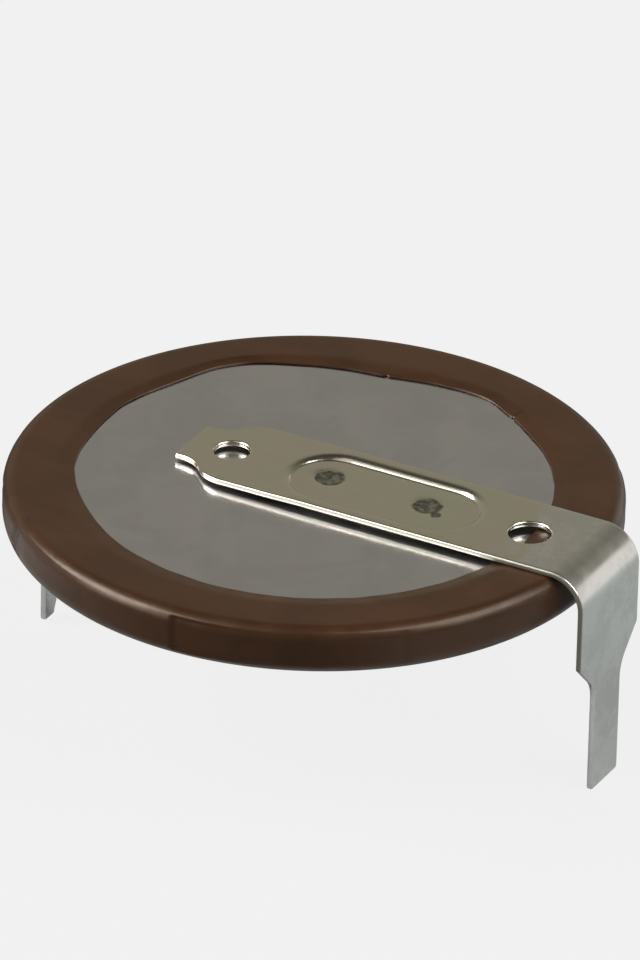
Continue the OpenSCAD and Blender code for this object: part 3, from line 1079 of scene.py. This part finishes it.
def towards(azimuth, elevation):
    """Direction from the object to a stand at an azimuth and elevation."""
    return Vector((sin(azimuth) * cos(elevation), -cos(azimuth) * cos(elevation), sin(elevation)))


def add_camera(studio):
    back = towards(studio.azimuth, studio.elevation)
    level = Vector((cos(studio.azimuth), sin(studio.azimuth), 0))
    upright = back.cross(level)
    right = cos(studio.roll) * level + sin(studio.roll) * upright
    up = cos(studio.roll) * upright - sin(studio.roll) * level
    data = bpy.data.cameras.new("Camera")
    data.sensor_width = 36
    data.lens = studio.lens
    data.clip_start, data.clip_end = 0.01, 100
    camera = add_object("Camera", data)
    stand = Matrix.Translation(Vector(studio.target) + back * studio.distance)
    camera.matrix_world = stand @ Matrix((right, up, back)).transposed().to_4x4()
    bpy.context.scene.camera = camera


def add_lamp(name, azimuth, elevation, size, power):
    data = bpy.data.lights.new(name, "AREA")
    data.shape = "SQUARE"
    data.size, data.energy = size, power
    lamp = add_object(name, data)
    direction = towards(radians(azimuth), radians(elevation))
    lamp.location = direction * LAMP_DISTANCE
    lamp.rotation_euler = direction.to_track_quat("Z", "Y").to_euler()


def ray_mask(tree, *kinds):
    """1 for rays of the given kinds."""
    rays = tree.nodes.new("ShaderNodeLightPath").outputs
    mask = rays[kinds[0]]
    for kind in kinds[1:]:
        mask = maths(tree, "MAXIMUM", mask, rays[kind])
    return mask


def sector(tree, level, azimuth, full, none):
    """1 for level vectors within one angle of an azimuth, 0 beyond another; both angles in degrees."""
    facing = vector_maths(tree, "DOT_PRODUCT", vector_maths(tree, "NORMALIZE", level), towards(azimuth, 0))
    return spread(tree, facing, cos(radians(none)), cos(radians(full)))


def painted_floor_zones(studio):
    """Parts of the floor with painted light and shade that only polished surfaces show: dark patches behind
    and before the object, a painted pool of light below the left lamp, painted shade beside the leg, and the
    screen's bright tone.

    Each has the radii in mm where it starts and is full, its azimuth, the angles in degrees to either side
    where it is full and has ended, and its tone.
    """
    behind = studio.front_azimuth + radians(175)
    before = studio.front_azimuth - radians(23)
    beside = radians(120)
    return (
        # Painted shade behind the object, a painted pool of light below the left lamp, painted shade in front
        # and beside the leg, then the screen's bright tone
        (12, 17, behind, 45, 75, studio.front),
        (10.5, 12.5, studio.painted_pool_azimuth, 10, 32, studio.pool),
        (9, 13, before, 25, 50, scaled(studio.front, 1.8)),
        (12.5, 17, beside, 25, 50, scaled(studio.mirrored, 0.95)),
        (17, 75, studio.screen_azimuth, 25, 50, studio.screen),
    )


def floor_material(studio):
    """Pale floor: the camera sees its plain tone with some shadow, and polished surfaces see its zones of
    painted light and shade.
    """
    material = bpy.data.materials.new("Pale floor")
    material.use_nodes = True
    tree = material.node_tree
    tree.nodes.clear()
    at = tree.nodes.new("ShaderNodeTexCoord").outputs["Object"]
    away = vector_maths(tree, "LENGTH", at)
    reflected, own = solid(studio.mirrored), spread(tree, away, 9.2 * MM, 10.5 * MM, 0.1, 0.6)
    for start, full, azimuth, wide, none, tone in painted_floor_zones(studio):
        near = spread(tree, away, start * MM, full * MM)
        zone = product(tree, near, sector(tree, at, azimuth, wide, none))
        reflected = blend(tree, zone, reflected, solid(tone))
        own = maths(tree, "MAXIMUM", own, zone)
    seen = ray_mask(tree, "Is Camera Ray")
    mirrored = ray_mask(tree, "Is Glossy Ray", "Is Transmission Ray")
    shown = blend(tree, seen, reflected, solid(studio.backdrop))
    plain = place(tree, "ShaderNodeEmission", Color=shown).outputs[0]
    shade = blend(tree, mirrored, solid((0.5,) * 3), solid((0.4,) * 3))
    lit = place(tree, "ShaderNodeBsdfDiffuse", Color=shade).outputs[0]
    plain_share = added(tree, product(tree, seen, 0.95), mirrored, own)
    mixed = place(tree, "ShaderNodeMixShader", None, {0: plain_share, 1: lit, 2: plain})
    output = tree.nodes.new("ShaderNodeOutputMaterial")
    tree.links.new(mixed.outputs[0], output.inputs["Surface"])
    return material


def add_floor(studio):
    bm = bmesh.new()
    bmesh.ops.create_circle(bm, cap_ends=True, radius=FLOOR_RADIUS, segments=64)
    bmesh.ops.translate(bm, vec=(0, 0, POSITIVE_LOW.z - LEVEL), verts=bm.verts)
    floor = add_mesh(bm, "floor", floor_material(studio))


def set_world(studio):
    """Pale background, darker above a band round the horizon for what polished surfaces show."""
    world = bpy.data.worlds.new("Studio")
    bpy.context.scene.world = world
    world.use_nodes = True
    tree = world.node_tree
    tree.nodes.clear()
    looking = tree.nodes.new("ShaderNodeTexCoord").outputs["Generated"]
    height = place(tree, "ShaderNodeSeparateXYZ", Vector=looking).outputs[2]
    level = vector_maths(tree, "MULTIPLY", looking, (1, 1, 0))
    blur = radians(3)
    screen = sector(tree, level, studio.screen_azimuth, 20, 42)
    front = sector(tree, level, studio.front_azimuth, 50, 75)
    below = spread(tree, height, sin(studio.screen_top + blur), sin(studio.screen_top - blur))
    high = spread(tree, height, sin(radians(28)), sin(radians(60)))
    low = blend(tree, product(tree, front, below), solid(studio.room), solid(studio.front))
    rest = blend(tree, high, low, solid(studio.overhead))
    nearness = vector_maths(tree, "DOT_PRODUCT", looking, towards(studio.glow_azimuth, studio.glow_height))
    glow = spread(tree, nearness, cos(radians(31)), cos(radians(10)))
    rest = blend(tree, glow, rest, solid(studio.glow))
    rest = blend(tree, product(tree, screen, 0.3), rest, solid(studio.overhead))
    reflected = blend(tree, product(tree, screen, below), rest, solid(studio.screen))
    ambient = (studio.ambient,) * 3
    mirror = ray_mask(tree, "Is Glossy Ray", "Is Transmission Ray")
    unseen = blend(tree, mirror, solid(ambient), reflected)
    tone = blend(tree, ray_mask(tree, "Is Camera Ray"), unseen, solid(studio.backdrop))
    background = place(tree, "ShaderNodeBackground", Color=tone)
    output = tree.nodes.new("ShaderNodeOutputWorld")
    tree.links.new(background.outputs[0], output.inputs["Surface"])


class COINCELL_OT_add_studio(bpy.types.Operator):
    """Adds the floor, the lamps, the background and the camera"""

    bl_idname = "coin_cell.add_studio"
    bl_label = "Add studio"

    def execute(self, context):
        studio = context.scene.coin_cell.studio
        context.scene.view_settings.view_transform = "Standard"
        add_camera(studio)
        add_floor(studio)
        set_world(studio)
        for lamp in LAMPS:
            add_lamp(*lamp)
        return {"FINISHED"}


class COINCELL_PT_panel(bpy.types.Panel):
    """Sizes, finishes and operators of the coin cell"""

    bl_label = "Coin cell"
    bl_idname = "COINCELL_PT_panel"
    bl_space_type = "VIEW_3D"
    bl_region_type = "UI"
    bl_category = "Coin cell"

    def draw(self, context):
        settings = context.scene.coin_cell
        for operator in OPERATORS:
            self.layout.operator(operator.bl_idname)
        for group in (settings.cell, settings.film, settings.sheet, settings.finish, settings.studio):
            box = self.layout.box()
            for name in group.__annotations__:
                box.prop(group, name)


GROUPS = (CellSizes, FilmSizes, SheetSizes, Finishes, StudioSettings, CoinCellSettings)
OPERATORS = (
    COINCELL_OT_add_cell, COINCELL_OT_add_film, COINCELL_OT_add_positive_terminal,
    COINCELL_OT_add_negative_terminal, COINCELL_OT_add_studio,
)
CLASSES = (*GROUPS, *OPERATORS, COINCELL_PT_panel)


def register():
    for item in CLASSES:
        bpy.utils.register_class(item)
    bpy.types.Scene.coin_cell = PointerProperty(type=CoinCellSettings)


def unregister():
    del bpy.types.Scene.coin_cell
    for item in reversed(CLASSES):
        bpy.utils.unregister_class(item)


def main():
    register()
    bpy.ops.coin_cell.add_cell()
    bpy.ops.coin_cell.add_film()
    bpy.ops.coin_cell.add_positive_terminal()
    bpy.ops.coin_cell.add_negative_terminal()
    bpy.ops.coin_cell.add_studio()


if __name__ == "__main__":
    main()
